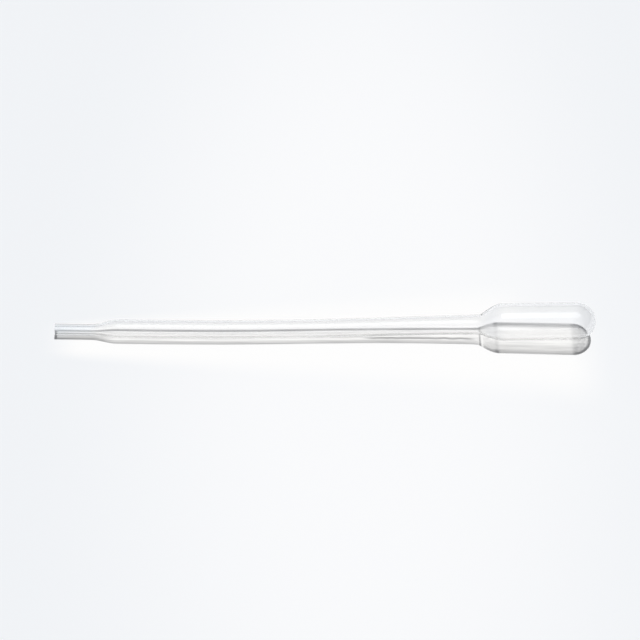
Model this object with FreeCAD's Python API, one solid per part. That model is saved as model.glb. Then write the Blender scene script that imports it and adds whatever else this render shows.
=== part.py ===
# A one-piece plastic dropper pipette, blow moulded in soft polyethylene, lying on its side.
#
# The length runs along X: the open tip is at -X and the squeeze bulb at +X.  Every cross-section
# is round.  The moulding cooled lying down, so its underside has settled: the front of the stem
# lies level, then the stem bends up a little and meets the bulb below the bulb's own middle.
# The origin is at the middle of the length, on the surface that the pipette lies on.
import FreeCAD, Part
import math
import os

# ---- driving dimensions, in millimetres ----
tip_length = 10.2           # straight narrow end that forms the drop
tip_diameter = 3.2
tip_wall = 0.65
cone_length = 7.6           # smooth widening from the tip to the stem
stem_length = 100.6         # from the cone to the shoulder of the bulb
stem_diameter = 5.1         # as far as the end of the bend
neck_diameter = 5.5         # where the stem meets the bulb
stem_wall = 0.5
shoulder_length = 6.4       # from the neck's crisp corner to the full bulb
bulb_diameter = 10.4
bulb_length = 20.0          # parallel part of the bulb, without shoulder and dome
bulb_wall = 0.45

# ---- how the settled moulding lies ----
rest_flat = 0.04            # how far the soft underside is pressed flat where it rests
tip_lift = 0.12             # gap under the tip
level_length = 49.0         # front of the stem, which lies level on the surface
bend_reach = 12.0           # from each end of the bend to the corner that it rounds
neck_lift = 1.15            # gap under the neck
bulb_rise = 2.5             # slope of the bulb in degrees, its domed end up

# ---- derived sizes ----
tip_radius = tip_diameter / 2
stem_radius = stem_diameter / 2
neck_radius = neck_diameter / 2
bulb_radius = bulb_diameter / 2
bulb_tilt = math.radians(bulb_rise)
bulb_run = bulb_length * math.cos(bulb_tilt) + bulb_radius
length = tip_length + cone_length + stem_length + shoulder_length + bulb_run

tip_height = tip_radius + tip_lift
stem_height = stem_radius - rest_flat
neck_height = neck_radius + neck_lift
bulb_height = bulb_radius * math.cos(bulb_tilt) - rest_flat

tip_root_x = tip_length - length / 2
stem_x = tip_root_x + cone_length
bend_x = stem_x + level_length
bend_corner_x = bend_x + bend_reach
neck_x = stem_x + stem_length
bulb_x = neck_x + shoulder_length

neck_tilt = math.atan2(neck_height - stem_height, neck_x - bend_corner_x)
bend_radius = bend_reach / math.tan(neck_tilt / 2)


def place(x, height):
    """A point on the pipette's upright middle plane."""
    return FreeCAD.Vector(x, 0, height)


def direction(tilt):
    """The way along the pipette where it climbs at a tilt."""
    return FreeCAD.Vector(math.cos(tilt), 0, math.sin(tilt))


level = direction(0)
tip_end = place(-length / 2, tip_height)
tip_root = place(tip_root_x, tip_height)
stem_front = place(stem_x, stem_height)
bend_front = place(bend_x, stem_height)
bend_centre = place(bend_x, stem_height + bend_radius)
bend_back = place(bend_corner_x, stem_height) + direction(neck_tilt) * bend_reach
neck_back = place(neck_x, neck_height)
bulb_front = place(bulb_x, bulb_height)
dome_centre = bulb_front + direction(bulb_tilt) * bulb_length


def ring(centre, radius, tilt):
    """A round section of the pipette."""
    return Part.Wire(Part.makeCircle(radius, centre, direction(tilt)))


def smooth(start, end, share):
    """Runs from start to end, level at both ends."""
    return start + (end - start) * (1 - math.cos(math.pi * share)) / 2


def rounded(start, end, share):
    """Leaves start steeply, from a crisp corner, and levels off at end."""
    return start + (end - start) * math.sin(math.pi / 2 * share)


def widening(start, end, radii, tilts, rule, sections):
    """A stretch through rings whose height and size follow a rule from start to end."""
    rings = []
    for number in range(sections + 1):
        share = number / sections
        centre = place(start.x + (end.x - start.x) * share, rule(start.z, end.z, share))
        tilt = tilts[0] + (tilts[1] - tilts[0]) * share
        rings.append(ring(centre, rule(*radii, share), tilt))
    return Part.makeLoft(rings, True, False)


def skin(tip_inset, stem_inset, bulb_inset, past_tip):
    """The solid inside the pipette's surface, moved inwards by the insets."""
    tip = tip_radius - tip_inset
    stem = stem_radius - stem_inset
    neck = neck_radius - stem_inset
    bulb = bulb_radius - bulb_inset
    neck_run = bend_back.distanceToPoint(neck_back)
    bend_section = Part.Face(ring(bend_front, stem, 0))

    stretches = [
        Part.makeCylinder(tip, tip_length + past_tip, tip_end - level * past_tip, level),
        widening(tip_root, stem_front, (tip, stem), (0, 0), smooth, 6),
        Part.makeCylinder(stem, level_length, stem_front, level),
        bend_section.revolve(bend_centre, FreeCAD.Vector(0, -1, 0), math.degrees(neck_tilt)),
        Part.makeCone(stem, neck, neck_run, bend_back, direction(neck_tilt)),
        widening(neck_back, bulb_front, (neck, bulb), (neck_tilt, bulb_tilt), rounded, 6),
        Part.makeCylinder(bulb, bulb_length, bulb_front, direction(bulb_tilt)),
        Part.makeSphere(bulb, dome_centre, direction(bulb_tilt), 0, 90, 360),
    ]
    return stretches[0].fuse(stretches[1:])


outside = skin(0, 0, 0, 0)
inside = skin(tip_wall, stem_wall, bulb_wall, tip_wall)
rest_corner = FreeCAD.Vector(-length / 2, -bulb_radius, -bulb_radius)
below_rest = Part.makeBox(length, bulb_diameter, bulb_radius, rest_corner)
pipette = outside.cut([inside, below_rest]).Solids[0]

os.makedirs("parts", exist_ok=True)
pipette.exportStep("parts/pipette.step")
print("pipette: length", round(length, 2), "volume", round(pipette.Volume, 2), "valid", pipette.isValid())
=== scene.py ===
import math
import bpy
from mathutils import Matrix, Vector


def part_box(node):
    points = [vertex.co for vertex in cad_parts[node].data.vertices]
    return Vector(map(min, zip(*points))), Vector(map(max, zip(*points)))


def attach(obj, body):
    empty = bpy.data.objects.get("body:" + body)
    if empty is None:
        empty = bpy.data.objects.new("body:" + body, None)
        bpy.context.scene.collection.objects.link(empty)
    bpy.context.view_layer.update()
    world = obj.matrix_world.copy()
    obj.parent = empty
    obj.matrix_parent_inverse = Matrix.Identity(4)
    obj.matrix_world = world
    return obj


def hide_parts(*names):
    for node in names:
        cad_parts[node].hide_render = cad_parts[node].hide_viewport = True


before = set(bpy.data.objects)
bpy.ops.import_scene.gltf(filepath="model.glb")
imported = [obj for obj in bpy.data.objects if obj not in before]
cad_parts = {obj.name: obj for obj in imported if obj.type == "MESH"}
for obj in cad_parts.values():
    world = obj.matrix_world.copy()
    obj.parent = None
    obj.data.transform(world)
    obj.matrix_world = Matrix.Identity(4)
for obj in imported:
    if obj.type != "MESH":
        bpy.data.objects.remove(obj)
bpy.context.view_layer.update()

millimetre = 0.001
print("frame: loaded", sorted(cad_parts))


class Wire:  # one socket of a node tree, so that maths on it reads as an expression
    def __init__(self, graph, socket):
        self.graph = graph
        self.socket = socket

    def maths(self, operation, *others):
        return self.graph.maths(operation, self, *others)

    def __add__(self, other):
        return self.graph.maths("ADD", self, other)

    def __sub__(self, other):
        return self.graph.maths("SUBTRACT", self, other)

    def __rsub__(self, other):
        return self.graph.maths("SUBTRACT", other, self)

    def __mul__(self, other):
        return self.graph.maths("MULTIPLY", self, other)

    def __truediv__(self, other):
        return self.graph.maths("DIVIDE", self, other)

    def __rtruediv__(self, other):
        return self.graph.maths("DIVIDE", other, self)

    __radd__ = __add__
    __rmul__ = __mul__

    def output(self, name):
        return Wire(self.graph, self.socket.node.outputs[name])


class Graph:  # a node tree that nodes are added to
    def __init__(self, tree):
        self.tree = tree

    def maths(self, operation, *values):
        return self.node("ShaderNodeMath", {"operation": operation}, dict(enumerate(values)))

    def node(self, kind, settings=None, sockets=None):
        made = self.tree.nodes.new(kind)
        for name, value in (settings or {}).items():
            if name == "stops":
                ramp = made.color_ramp.elements
                while len(ramp) < len(value):
                    ramp.new(0.5)
                for stop, (place, shade) in zip(ramp, value):
                    stop.position = place
                    stop.color = shade
            else:
                setattr(made, name, value)
        for name, value in (sockets or {}).items():
            if isinstance(value, Wire):
                self.tree.links.new(value.socket, made.inputs[name])
            else:
                made.inputs[name].default_value = value
        shown = [socket for socket in made.outputs if socket.enabled]
        return Wire(self, shown[0]) if shown else None


def fade(graph, value, start, end):  # 0 at start and 1 at end, soft at both
    return graph.node("ShaderNodeMapRange", {"interpolation_type": "SMOOTHSTEP"}, {
        "Value": value, "From Min": start, "From Max": end, "To Min": 0.0, "To Max": 1.0})


def band(graph, value, middle, reach):  # 1 at the middle and 0 further away than the reach
    return fade(graph, (value - middle).maths("ABSOLUTE"), reach, 0.0)


def blend(graph, share, first, second):  # the first colour at 0 and the second at 1
    return graph.node("ShaderNodeMix", {"data_type": "RGBA"}, {
        "Factor": share, 6: first, 7: second}).output(2)


def streaked(graph, place, length, width, detail, roughness):  # noise that is drawn out along x
    stretch = graph.node("ShaderNodeMapping", None, {
        "Vector": place, "Scale": (1 / length, 1 / width, 1 / width)})
    return graph.node("ShaderNodeTexNoise", {"noise_dimensions": "3D"}, {
        "Vector": stretch, "Scale": 1.0, "Detail": detail, "Roughness": roughness})


pipetteSizes = {  # metres, with walls and heights as the moulding lies
    "Tip Length": 10.2 * millimetre,
    "Tip Radius": 1.6 * millimetre,
    "Tip Wall": 0.65 * millimetre,
    "Lip Round": 0.12 * millimetre,
    "Tip Lift": 0.12 * millimetre,
    "Cone Length": 7.6 * millimetre,
    "Stem Length": 100.6 * millimetre,
    "Stem Radius": 2.55 * millimetre,
    "Stem Wall": 0.5 * millimetre,
    "Level Length": 49.0 * millimetre,
    "Bend Reach": 12.0 * millimetre,
    "Neck Radius": 2.75 * millimetre,
    "Neck Lift": 1.15 * millimetre,
    "Neck Round": 0.7 * millimetre,
    "Shoulder Length": 6.4 * millimetre,
    "Bulb Length": 20.0 * millimetre,
    "Bulb Radius": 5.2 * millimetre,
    "Bulb Wall": 0.45 * millimetre,
    "Bulb Rise": math.radians(2.5),
    "Rest Flat": 0.04 * millimetre,
    "Ripple": 0.0012 * millimetre,
    "Sway": 0.36 * millimetre,  # the soft stem lies in a very slight wave from side to side
    "Sway Start": 75.0 * millimetre,
    "Sway Length": 124.0 * millimetre,
}
pipetteCounts = {"Rings": 384, "Segments": 256}
rippleGrain = {"along": 9.0, "round": 4.0, "apart": 11.0}  # apart keeps the two skins' ripples different
weldDistance = 1e-7  # rings that close to a point are welded
sharpAngle = math.radians(50)
ringShares = {  # how the rings are dealt out from the mouth to the pole
    "Lip Round": 0.03, "Tip Length": 0.04, "Cone Length": 0.12, "Level Length": 0.10,
    "Bend Length": 0.08, "Taper Length": 0.08, "Shoulder Length": 0.19, "Bulb Length": 0.16, "Dome": 0.20,
}


def wallTree(material):
    tree = bpy.data.node_groups.new("pipetteWall", "GeometryNodeTree")
    tree.interface.new_socket("Geometry", in_out="OUTPUT", socket_type="NodeSocketGeometry")
    for name in pipetteSizes:
        tree.interface.new_socket(name, in_out="INPUT", socket_type="NodeSocketFloat")
    for name in pipetteCounts:
        tree.interface.new_socket(name, in_out="INPUT", socket_type="NodeSocketInt")
    tree.interface.new_socket("Left End", in_out="INPUT", socket_type="NodeSocketFloat")
    graph = Graph(tree)
    given = graph.node("NodeGroupInput")
    size = {name: given.output(name) for name in [*pipetteSizes, *pipetteCounts, "Left End"]}

    def clamped(value):
        return graph.node("ShaderNodeClamp", None, {"Value": value})

    def share(value, start, span):
        return clamped((value - start) / span)

    def smooth(part):  # level at both ends
        return (1 - (part * math.pi).maths("COSINE")) * 0.5

    # a flat grid: along it runs the outline of the wall, from the inside of the dome
    # out to the mouth of the tip and back over the outside, and across it runs the turn
    sheet = graph.node("GeometryNodeMeshGrid", None, {
        "Size X": 1.0, "Size Y": 1.0, "Vertices X": size["Rings"], "Vertices Y": size["Segments"]})
    spot = graph.node("ShaderNodeSeparateXYZ", None, {0: graph.node("GeometryNodeInputPosition")})
    along = spot.output("X") * 2
    turn = (spot.output("Y") + 0.5) * (2 * math.pi)
    outer = along.maths("GREATER_THAN", 0.0)
    lipGap = 1 / (size["Rings"] - 1)
    reach = (along.maths("ABSOLUTE") - lipGap) / (1 - lipGap)  # 0 at the mouth, 1 at the dome's pole

    coneStart = size["Tip Length"]
    stemStart = coneStart + size["Cone Length"]
    bendStart = stemStart + size["Level Length"]
    bendCorner = bendStart + size["Bend Reach"]
    bendEnd = bendCorner + size["Bend Reach"]
    neckStart = stemStart + size["Stem Length"]
    bulbStart = neckStart + size["Shoulder Length"]
    bulbCosine = size["Bulb Rise"].maths("COSINE")
    domeStart = bulbStart + size["Bulb Length"] * bulbCosine

    spans = {  # the length that each stretch of rings covers
        "Lip Round": size["Lip Round"],
        "Tip Length": size["Tip Length"] - size["Lip Round"],
        "Cone Length": size["Cone Length"],
        "Level Length": size["Level Length"],
        "Bend Length": bendEnd - bendStart,
        "Taper Length": neckStart - bendEnd,
        "Shoulder Length": size["Shoulder Length"],
        "Bulb Length": size["Bulb Length"] * bulbCosine,
    }
    distance = 0.0
    passedShare = 0.0
    for name, span in spans.items():
        distance = span * share(reach, passedShare, ringShares[name]) + distance
        passedShare = passedShare + ringShares[name]
    domeTurn = share(reach, 1 - ringShares["Dome"], ringShares["Dome"]) * (math.pi / 2)
    domeOut = domeTurn.maths("SINE")
    domeIn = domeTurn.maths("COSINE")

    coneShare = smooth(share(distance, coneStart, size["Cone Length"]))
    taperShare = share(distance, bendEnd, neckStart - bendEnd)
    shoulderPart = (distance - neckStart) / size["Shoulder Length"]
    soft = size["Neck Round"] / size["Shoulder Length"]
    started = (shoulderPart + soft).maths("MAXIMUM", 0.0).maths("MINIMUM", soft * 2)
    shoulderPart = started * started / (soft * 4) + (shoulderPart - soft).maths("MAXIMUM", 0.0)
    shoulderTurn = shoulderPart.maths("MINIMUM", 1.0) * (math.pi / 2)
    shoulderShare = shoulderTurn.maths("SINE")

    wall = (size["Tip Wall"] + (size["Stem Wall"] - size["Tip Wall"]) * coneShare
            + (size["Bulb Wall"] - size["Stem Wall"]) * shoulderShare)
    radius = (size["Tip Radius"] + (size["Stem Radius"] - size["Tip Radius"]) * coneShare
              + (size["Neck Radius"] - size["Stem Radius"]) * taperShare
              + (size["Bulb Radius"] - size["Neck Radius"]) * shoulderShare)
    lipTurn = 1 - share(distance, 0.0, size["Lip Round"])
    lipCut = size["Lip Round"] * (1 - (1 - lipTurn * lipTurn).maths("SQRT"))
    radius = radius - wall * (1 - outer) + lipCut * (1 - outer * 2)

    # the height of the middle line, and its tilt
    tipHeight = size["Tip Radius"] + size["Tip Lift"]
    stemHeight = size["Stem Radius"] - size["Rest Flat"]
    neckHeight = size["Neck Radius"] + size["Neck Lift"]
    bulbHeight = size["Bulb Radius"] * bulbCosine - size["Rest Flat"]
    neckSlope = (neckHeight - stemHeight) / (neckStart - bendCorner)
    bendShare = share(distance, bendStart, bendEnd - bendStart)
    pastBend = (distance - bendEnd).maths("MAXIMUM", 0.0).maths("MINIMUM", neckStart - bendEnd)
    pastBulb = (distance - bulbStart).maths("MAXIMUM", 0.0)
    domeAlong = radius * domeOut
    bulbSlope = size["Bulb Rise"].maths("TANGENT")
    height = (tipHeight + (stemHeight - tipHeight) * coneShare
              + neckSlope * size["Bend Reach"] * bendShare * bendShare + neckSlope * pastBend
              + (bulbHeight - neckHeight) * shoulderShare
              + bulbSlope * (pastBulb + domeAlong * bulbCosine))
    neckTilt = neckSlope.maths("ARCTANGENT")
    tilt = neckTilt * bendShare + (size["Bulb Rise"] - neckTilt) * shoulderShare

    # long shallow ripples drawn along the wall, other ones inside than outside
    up = turn.maths("COSINE")
    aside = turn.maths("SINE")
    grain = graph.node("ShaderNodeCombineXYZ", None, {
        0: distance * rippleGrain["along"],
        1: up * rippleGrain["round"] + outer * rippleGrain["apart"],
        2: aside * rippleGrain["round"]})
    ripple = graph.node("ShaderNodeTexNoise", {"noise_dimensions": "3D"}, {
        "Vector": grain, "Scale": 1.0, "Detail": 2.0, "Roughness": 0.55})
    radius = radius * domeIn + (ripple - 0.5) * size["Ripple"] * domeIn

    rise = radius * up
    x = size["Left End"] + distance + domeAlong * bulbCosine - rise * tilt.maths("SINE")
    z = height + rise * tilt.maths("COSINE")
    z = z.maths("MAXIMUM", 0.0)
    swayTurn = (distance + domeAlong - size["Sway Start"]) / size["Sway Length"] * (2 * math.pi)
    y = radius * aside + size["Sway"] * swayTurn.maths("SINE")
    point = graph.node("ShaderNodeCombineXYZ", None, {0: x, 1: y, 2: z})
    marked = graph.node("GeometryNodeStoreNamedAttribute", {"data_type": "FLOAT", "domain": "POINT"}, {
        "Geometry": sheet, "Name": "outerSkin", "Value": outer})
    shaped = graph.node("GeometryNodeSetPosition", None, {"Geometry": marked, "Position": point})
    closed = graph.node("GeometryNodeMergeByDistance", None, {
        "Geometry": shaped, "Distance": weldDistance})
    plain = graph.node("GeometryNodeSetShadeSmooth", None, {"Geometry": closed})
    real = graph.node("GeometryNodeRealizeInstances", None, {"Geometry": plain})
    painted = graph.node("GeometryNodeSetMaterial", None, {"Geometry": real, "Material": material})
    graph.node("NodeGroupOutput", None, {"Geometry": painted})
    return tree


def makePipette(material):
    tree = wallTree(material)
    blank = bpy.data.objects.new("pipetteMaker", bpy.data.meshes.new("pipetteMaker"))
    bpy.context.scene.collection.objects.link(blank)
    modifier = blank.modifiers.new("wall", "NODES")
    modifier.node_group = tree
    sockets = {item.name: item.identifier for item in tree.interface.items_tree if item.in_out == "INPUT"}
    for name, value in {**pipetteSizes, **pipetteCounts, "Left End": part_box("pipette")[0].x}.items():
        modifier[sockets[name]] = value
    shape = blank.evaluated_get(bpy.context.evaluated_depsgraph_get())
    mesh = bpy.data.meshes.new_from_object(shape)
    blank.modifiers.remove(modifier)
    bpy.data.objects.remove(blank)
    mesh.set_sharp_from_angle(angle=sharpAngle)
    piece = bpy.data.objects.new("pipetteBody", mesh)
    bpy.context.scene.collection.objects.link(piece)
    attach(piece, "root")
    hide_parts("pipette")
    print("pipette:", len(mesh.vertices), "points,", len(mesh.polygons), "faces")


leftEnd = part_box("pipette")[0].x
tipRoot = leftEnd + pipetteSizes["Tip Length"]
neckPlace = tipRoot + pipetteSizes["Cone Length"] + pipetteSizes["Stem Length"]
bulbPlace = neckPlace + pipetteSizes["Shoulder Length"]
domePlace = bulbPlace + pipetteSizes["Bulb Length"] * math.cos(pipetteSizes["Bulb Rise"])
plasticLook = {  # clear, faintly milky polyethylene
    "clear": (0.999, 1.0, 1.0, 1),
    "milky": (0.993, 0.994, 0.994, 1),  # in the thicker streaks
    "dome": (0.936, 0.938, 0.941, 1),  # where the moulding was pinched off, its wall is thickest
    "domeFade": (domePlace - 0.6 * millimetre, domePlace + 1.9 * millimetre),
    "tip": (0.952, 0.966, 0.978, 1),
    "tipFade": (tipRoot + 2.0 * millimetre, tipRoot - 1.0 * millimetre),
    "stem": (0.982, 0.984, 0.986, 1),
    "stemStreaks": 0.4,  # how much of the stem's own colour the streaks take away
    "shoulder": (0.966, 0.972, 0.981, 1),
    "shoulderReach": 4.2 * millimetre,
    "clearness": 1.0,
    "bending": 1.51,
    "smoothest": 0.030,
    "roughest": 0.050,
    "stemRoughness": 0.050,  # the stem is duller than the bulb
    "streakLength": 14 * millimetre,  # the moulded wall is streaked along its length
    "streakWidth": 1.1 * millimetre,
    "streakFade": (0.28, 0.72),
    "lineWidth": 0.45 * millimetre,  # of the fine streaks in its shadow
    "lineFade": (0.30, 0.70),
    "waveLength": 45 * millimetre,  # and its skin has long shallow waves
    "waveWidth": 2.6 * millimetre,
    "waveDepth": 0.004 * millimetre,
}
shadeLook = {  # painted shadow: how much of a straight ray from the lamp each skin stops, which paints the pattern of light and shade in the pipette's cast shadow
    "passedColour": (0.999, 0.998, 0.995, 1),
    "farWay": (0.0, 0.959, -0.284),  # square to the pipette and to the light
    "lean": 0.12,  # how far along the pipette the light travels, for each unit that it drops
    # painted shadow profile from the skin nearest to the viewer, at -1, to the furthest, at 1: it stands
    # in for how the wall bends most light away where a ray grazes it, and gathers a little of it into
    # fine bright lines further in
    "tip": ((-1, 0.54), (-0.82, 0.54), (-0.60, 0.42), (-0.40, 0.25), (-0.20, 0.20), (0, 0.08),
            (0.28, 0), (0.38, 0.06), (0.48, 0.30), (0.58, 0.52), (0.86, 0.52), (0.94, 0.40), (1, 0.30)),
    "stem": ((-1, 0.32), (-0.92, 0.33), (-0.84, 0.33), (-0.76, 0.26), (-0.67, 0.22), (-0.54, 0.18),
             (-0.50, 0.10), (-0.47, 0), (-0.38, 0), (-0.33, 0.12), (-0.22, 0.12), (-0.13, 0.06),
             (0, 0.02), (0.10, 0.04), (0.19, 0.10), (0.30, 0.10), (0.38, 0.04), (0.45, 0), (0.54, 0.02),
             (0.58, 0.22), (0.64, 0.60), (0.84, 0.58), (0.92, 0.20), (1, 0.06)),
    "bulb": ((-1, 0.42), (-0.93, 0.42), (-0.87, 0.34), (-0.80, 0.32), (-0.755, 0.21), (-0.68, 0.175),
             (-0.62, 0.16), (-0.55, 0.19), (-0.485, 0.16), (-0.42, 0.09), (-0.36, 0.055), (-0.29, 0.13),
             (-0.23, 0.03), (-0.16, 0), (-0.10, 0.055), (-0.03, 0.03), (0.03, 0.01), (0.16, 0.01),
             (0.23, 0.02), (0.29, 0.08), (0.35, 0), (0.48, 0), (0.55, 0.04), (0.62, 0.10), (0.68, 0.17),
             (0.745, 0.40), (0.80, 0.47), (0.87, 0.51), (0.94, 0.40), (1, 0.25)),
    "bulbFade": (neckPlace, neckPlace + 3.5 * millimetre),  # where the bulb's pattern takes over
    "rimFade": (0.80, 0.92),  # the sine of the angle to the ray at which a rim starts and is full
    "farFade": (0.3, 0.6),  # how far across the side away from the viewer starts and is full
    "speckle": 0.7 * millimetre,
    "domeLoss": 0.20,
    "domeRim": 0.44,
    "domeSpeckle": 0.5,
    # painted dark bands in the cast shadow, placed across the moulding, each with its middle and its
    # reach
    "shoulderShadowBand": ((neckPlace + bulbPlace) / 2 - 0.6 * millimetre, 3.2 * millimetre),
    "shoulderEase": 0.45,  # how much of the bulb's far rim is missing there
    "shoulderRim": 0.16,
    "shoulderSpeckle": 0.24,
    "shoulderLoss": -0.06,  # takes off part of what the specks add
    "bulbShadowBand": (bulbPlace - 1.85 * millimetre, 0.9 * millimetre),
    "bulbShadowBandRim": 0.30,
    "bulbShadowBandLoss": 0.10,
    "domeShadowBand": (domePlace - 0.2 * millimetre, 1.2 * millimetre),
    "domeShadowBandLoss": 0.08,
    "neckShadowBand": (neckPlace - 0.05 * millimetre, 0.38 * millimetre),
    "neckShadowBandLoss": 0.38,
    "neckBrightLine": (neckPlace + 0.62 * millimetre, 0.42 * millimetre),  # a painted bright line in the shadow beside the neck's dark band
    "mouthShadowBand": (leftEnd + 0.02 * millimetre, 0.55 * millimetre),
    "mouthShadowBandLoss": 0.95,
    # the fine streaks scale what is stopped, and those above the even one add to it
    "leastScale": 0.85,
    "scaleSpread": 0.30,
    "evenLine": 0.60,
    "lineLoss": 0.14,
    # a painted uneven dark line in the shadow of the back half of the stem
    "shadowLinePlace": -0.40,
    "shadowLineWander": 0.14,
    "shadowLineStep": 2.5 * millimetre,
    "shadowLineReach": 0.20,
    "shadowLineStart": (10 * millimetre, 15 * millimetre),
    "shadowLineEnd": (neckPlace, neckPlace - 3 * millimetre),
    "shadowLineLoss": 0.45,
    "mostLost": 0.9,
}


# painted shadow: each skin stops a given share of the lamp's straight ray, drawing the light and shade
# inside the cast shadow
def lightLost(graph, place, x, dome, lines):  # the share of a lamp's straight ray that one skin stops
    look = shadeLook
    skin = graph.node("ShaderNodeAttribute", {"attribute_name": "outerSkin"}).output("Fac")
    cosine = 1 - graph.node("ShaderNodeLayerWeight", None, {"Blend": 0.5}).output("Facing")
    facing = graph.node("ShaderNodeNewGeometry")
    across = graph.node("ShaderNodeVectorMath", {"operation": "DOT_PRODUCT"}, {
        0: facing.output("Normal"), 1: look["farWay"]}).output("Value")
    across = across * (1 - facing.output("Backfacing") * 2)  # outward again where a ray leaves

    def loss(part):
        stops = [((offset + 1) / 2, (share, share, share, 1)) for offset, share in look[part]]
        return graph.node("ShaderNodeValToRGB", {"stops": stops}, {"Fac": across * 0.5 + 0.5})

    coned = fade(graph, x, tipRoot, tipRoot + pipetteSizes["Cone Length"])
    shouldered = fade(graph, x, *look["bulbFade"])
    lost = loss("tip") * (1 - coned) + loss("stem") * (coned - shouldered) + loss("bulb") * shouldered
    specks = graph.node("ShaderNodeTexNoise", {"noise_dimensions": "3D"}, {
        "Vector": place, "Scale": 1 / look["speckle"], "Detail": 3.0, "Roughness": 0.7})
    rim = fade(graph, (1 - cosine * cosine).maths("SQRT"), *look["rimFade"])
    # painted mottled shade and a painted dark rim in the dome's shadow
    lost = lost + dome * ((specks - 0.5) * look["domeSpeckle"] + rim * look["domeRim"] + look["domeLoss"])

    # the painted shadow bands are placed by where the ray lands, so that both skins of one ray agree
    height = graph.node("ShaderNodeSeparateXYZ", None, {0: place}).output("Z")
    landing = x - height * look["lean"]
    far = fade(graph, across, *look["farFade"])
    near = 1 - far
    shoulder = band(graph, landing, *look["shoulderShadowBand"])
    lost = lost * (1 - shoulder * far * look["shoulderEase"])
    bulbShadowBand = rim * look["bulbShadowBandRim"] + look["bulbShadowBandLoss"]
    shoulderShadowBand = rim * near * look["shoulderRim"] + look["shoulderLoss"]
    shoulderShadowBand = shoulderShadowBand + specks * look["shoulderSpeckle"]
    shadowBands = (band(graph, landing, *look["bulbShadowBand"]) * bulbShadowBand
             + shoulder * shoulderShadowBand
             + band(graph, landing, *look["domeShadowBand"]) * look["domeShadowBandLoss"]
             + band(graph, landing, *look["neckShadowBand"]) * look["neckShadowBandLoss"]
             + band(graph, landing, *look["mouthShadowBand"]) * near * look["mouthShadowBandLoss"])
    # a painted bright line in the shadow beside the neck's dark band
    line = band(graph, landing, *look["neckBrightLine"]) * near
    lost = lost * (look["leastScale"] + lines * look["scaleSpread"])
    lost = lost + (lines - look["evenLine"]) * look["lineLoss"]

    # a painted dark line that wanders along the stem's shadow
    wander = graph.node("ShaderNodeTexNoise", {"noise_dimensions": "1D"}, {
        "W": x, "Scale": 1 / look["shadowLineStep"], "Detail": 2.0})
    shadowLine = band(graph, across, look["shadowLinePlace"] + wander * look["shadowLineWander"], look["shadowLineReach"])
    shadowLine = shadowLine * fade(graph, x, *look["shadowLineStart"]) * fade(graph, x, *look["shadowLineEnd"])
    lost = lost * (1 - line) + shadowBands + shadowLine * look["shadowLineLoss"]
    return lost.maths("MAXIMUM", 0.0).maths("MINIMUM", look["mostLost"]) * skin


def makePlastic():
    look = plasticLook
    material = bpy.data.materials.new("clearPolyethylene")
    material.use_nodes = True
    material.node_tree.nodes.clear()
    graph = Graph(material.node_tree)
    place = graph.node("ShaderNodeTexCoord").output("Object")
    x = graph.node("ShaderNodeSeparateXYZ", None, {0: place}).output("X")
    streaks = streaked(graph, place, look["streakLength"], look["streakWidth"], detail=3.0, roughness=0.6)
    streaks = fade(graph, streaks, *look["streakFade"])
    lines = streaked(graph, place, look["streakLength"], look["lineWidth"], detail=2.0, roughness=0.5)
    lines = fade(graph, lines, *look["lineFade"])
    dome = fade(graph, x, *look["domeFade"])
    slim = fade(graph, x, bulbPlace, neckPlace)
    shoulder = band(graph, x, (neckPlace + bulbPlace) / 2, look["shoulderReach"])
    tip = fade(graph, x, *look["tipFade"])
    colour = blend(graph, streaks, look["clear"], look["milky"])
    colour = blend(graph, dome, colour, look["dome"])
    colour = blend(graph, slim * (1 - streaks * look["stemStreaks"]), colour, look["stem"])
    colour = blend(graph, shoulder, colour, look["shoulder"])
    colour = blend(graph, tip, colour, look["tip"])
    roughness = streaks * (look["roughest"] - look["smoothest"]) + look["smoothest"]
    roughness = roughness + slim * look["stemRoughness"]
    waves = streaked(graph, place, look["waveLength"], look["waveWidth"], detail=0.0, roughness=0.5)
    waves = graph.node("ShaderNodeBump", None, {
        "Strength": 1.0, "Distance": look["waveDepth"], "Height": waves})
    wall = graph.node("ShaderNodeBsdfPrincipled", None, {
        "Base Color": colour, "Transmission Weight": look["clearness"],
        "Roughness": roughness, "IOR": look["bending"], "Normal": waves})

    rays = graph.node("ShaderNodeLightPath")
    stopped = lightLost(graph, place, x, dome, lines)
    straight = rays.output("Is Shadow Ray") * (1 - stopped) + rays.output("Is Diffuse Ray")
    passed = graph.node("ShaderNodeBsdfTransparent", None, {"Color": shadeLook["passedColour"]})
    both = graph.node("ShaderNodeMixShader", None, {0: straight, 1: wall, 2: passed})
    graph.node("ShaderNodeOutputMaterial", None, {"Surface": both})
    print("plastic:", len(material.node_tree.nodes), "nodes")
    return material


makePipette(makePlastic())

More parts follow.
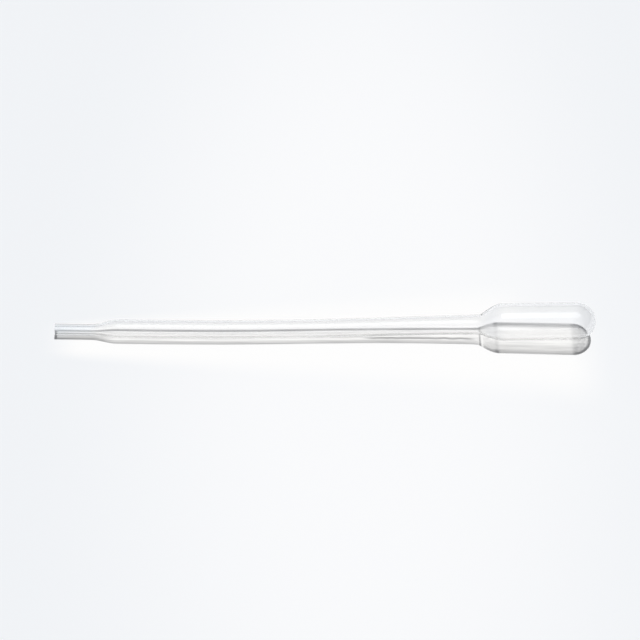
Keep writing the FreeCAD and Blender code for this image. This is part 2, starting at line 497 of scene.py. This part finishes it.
panelLean = math.radians(2.5)
studio = {
    "floorReach": 3.0,
    "floorColour": (0.954, 0.962, 0.974, 1),
    "floorPaintedFalloff": (0.880, 0.900, 0.925, 1),  # painted falloff of the light: further out the floor is painted a little darker and bluer
    "floorPaintedGlow": (0.992, 0.991, 0.989, 1),  # painted light: beside the pipette the floor is painted brighter, for the light that the pipette spreads
    "floorMiddle": (0.012, 0.0, 0.0),
    "floorFade": (0.020, 0.100),
    "floorStretch": (1.0, 0.4, 0.0),
    "glowMiddle": -0.002,  # of the strip that the spread light reaches, in y
    "glowWidth": 0.0115,  # half of the strip, at the middle of the pipette
    "glowWidening": 0.085,  # toward the bulb
    "glowEdge": (1.4, 0.6),  # in half widths, from none to full
    "glowEnds": (0.080, 0.066),
    "glowMissing": 0.9,  # the part of it that is missing behind the bulb
    "missingAlong": (0.046, 0.060),
    "missingBehind": (0.0, 0.005),
    "keyStrength": 2.600,
    "keyHeading": Vector((0.12, 0.296, 1.0)),
    "keyWidth": math.radians(1.6),
    "keyColour": (1.0, 0.997, 0.992),
    "worldColour": (0.985, 0.995, 1.020, 1),
    "fillStrength": 0.20,  # what the surroundings light with
    "wallStrength": 0.80,  # what gloss and clear walls show of them
    "frontStrength": 0.95,
    "frontFade": (0.0, -0.4),
    "rearStrength": 0.40,  # it is darkest behind the pipette
    "rearFade": (-0.1, 0.3),
    "rearRise": (0.10, 0.30),  # and above the horizon
    "endStrength": 0.50,  # the room is darker beyond the bulb
    "endFade": (0.3, 0.9),
    "panelStrength": 1.90,  # what they show of the white panel overhead
    "panelHeading": Vector((0.0, math.sin(panelLean), math.cos(panelLean))),
    "panelWidth": math.radians(18),
    "panelBlur": math.radians(3),
    "backStrength": 0.90,
    "cameraRise": math.radians(52.8),
    "cameraDistance": 0.496,
    "lens": 100.0,
    "sensor": 36.0,
    "nearest": 0.01,
    "aim": Vector((-0.0012, 0.00256, 0.0030)),
}


def makeFloor():
    reach = studio["floorReach"]
    mesh = bpy.data.meshes.new("floor")
    corners = [(-reach, -reach, 0), (reach, -reach, 0), (reach, reach, 0), (-reach, reach, 0)]
    mesh.from_pydata(corners, [], [(0, 1, 2, 3)])
    material = bpy.data.materials.new("paleFloor")
    material.use_nodes = True
    material.node_tree.nodes.clear()
    graph = Graph(material.node_tree)
    place = graph.node("ShaderNodeTexCoord").output("Object")
    drawn = graph.node("ShaderNodeVectorMath", {"operation": "MULTIPLY"}, {
        0: place, 1: studio["floorStretch"]})
    away = graph.node("ShaderNodeVectorMath", {"operation": "DISTANCE"}, {
        0: drawn, 1: studio["floorMiddle"]}).output("Value")
    # painted falloff of the light, darker away from the middle
    away = fade(graph, away, *studio["floorFade"])
    spot = graph.node("ShaderNodeSeparateXYZ", None, {0: place})
    x = spot.output("X")
    y = spot.output("Y")
    # a painted pool of light in a strip beside the pipette, partly missing behind the bulb
    width = x * studio["glowWidening"] + studio["glowWidth"]
    aside = (y - studio["glowMiddle"]).maths("ABSOLUTE") / width
    missing = fade(graph, x, *studio["missingAlong"]) * fade(graph, y, *studio["missingBehind"])
    glow = fade(graph, aside, *studio["glowEdge"]) * fade(graph, x.maths("ABSOLUTE"), *studio["glowEnds"])
    glow = glow * (1 - missing * studio["glowMissing"])
    colour = blend(graph, away, studio["floorColour"], studio["floorPaintedFalloff"])
    colour = blend(graph, glow, colour, studio["floorPaintedGlow"])
    paper = graph.node("ShaderNodeBsdfDiffuse", None, {"Color": colour})
    graph.node("ShaderNodeOutputMaterial", None, {"Surface": paper})
    mesh.materials.append(material)
    floor = bpy.data.objects.new("floor", mesh)
    bpy.context.scene.collection.objects.link(floor)


def makeLight():
    lamp = bpy.data.lights.new("key", "SUN")
    lamp.energy = studio["keyStrength"]
    lamp.angle = studio["keyWidth"]
    lamp.color = studio["keyColour"]
    key = bpy.data.objects.new("key", lamp)
    key.location = studio["keyHeading"]
    key.rotation_euler = (-studio["keyHeading"]).to_track_quat("-Z", "Y").to_euler()
    key.visible_glossy = False  # gloss shows the panel overhead instead
    key.visible_transmission = False
    bpy.context.scene.collection.objects.link(key)


def makeSurroundings():
    world = bpy.data.worlds.new("studio")
    bpy.context.scene.world = world
    world.use_nodes = True
    world.node_tree.nodes.clear()
    graph = Graph(world.node_tree)
    heading = graph.node("ShaderNodeTexCoord").output("Generated")
    panel = graph.node("ShaderNodeVectorMath", {"operation": "DOT_PRODUCT"}, {
        0: heading, 1: studio["panelHeading"]}).output("Value")
    panel = fade(graph, panel, math.cos(studio["panelWidth"] + studio["panelBlur"]),
                 math.cos(studio["panelWidth"] - studio["panelBlur"]))
    aimed = graph.node("ShaderNodeSeparateXYZ", None, {0: heading})
    front = fade(graph, aimed.output("Y"), *studio["frontFade"])
    rear = fade(graph, aimed.output("Y"), *studio["rearFade"])
    rear = rear * fade(graph, aimed.output("Z"), *studio["rearRise"])
    end = fade(graph, aimed.output("X"), *studio["endFade"])
    wall = studio["wallStrength"]
    wall = front * (studio["frontStrength"] - wall) + wall
    wall = rear * (studio["rearStrength"] - wall) + wall
    wall = end * (studio["endStrength"] - wall) + wall
    rays = graph.node("ShaderNodeLightPath")
    seen = panel * (studio["panelStrength"] - wall) + wall
    strength = rays.output("Is Diffuse Ray") * (studio["fillStrength"] - seen) + seen
    strength = rays.output("Is Camera Ray") * (studio["backStrength"] - strength) + strength
    sky = graph.node("ShaderNodeBackground", None, {"Color": studio["worldColour"], "Strength": strength})
    graph.node("ShaderNodeOutputWorld", None, {"Surface": sky})


def makeCamera():
    lens = bpy.data.cameras.new("camera")
    lens.lens = studio["lens"]
    lens.sensor_width = studio["sensor"]
    lens.clip_start = studio["nearest"]
    camera = bpy.data.objects.new("camera", lens)
    rise = studio["cameraRise"]
    away = Vector((0, -math.cos(rise), math.sin(rise))) * studio["cameraDistance"]
    camera.location = studio["aim"] + away
    camera.rotation_euler = (-away).to_track_quat("-Z", "Y").to_euler()
    bpy.context.scene.collection.objects.link(camera)
    bpy.context.scene.camera = camera


makeFloor()
makeLight()
makeSurroundings()
makeCamera()
bpy.context.scene.view_settings.view_transform = "Standard"
print("studio: floor, light and camera are in place")
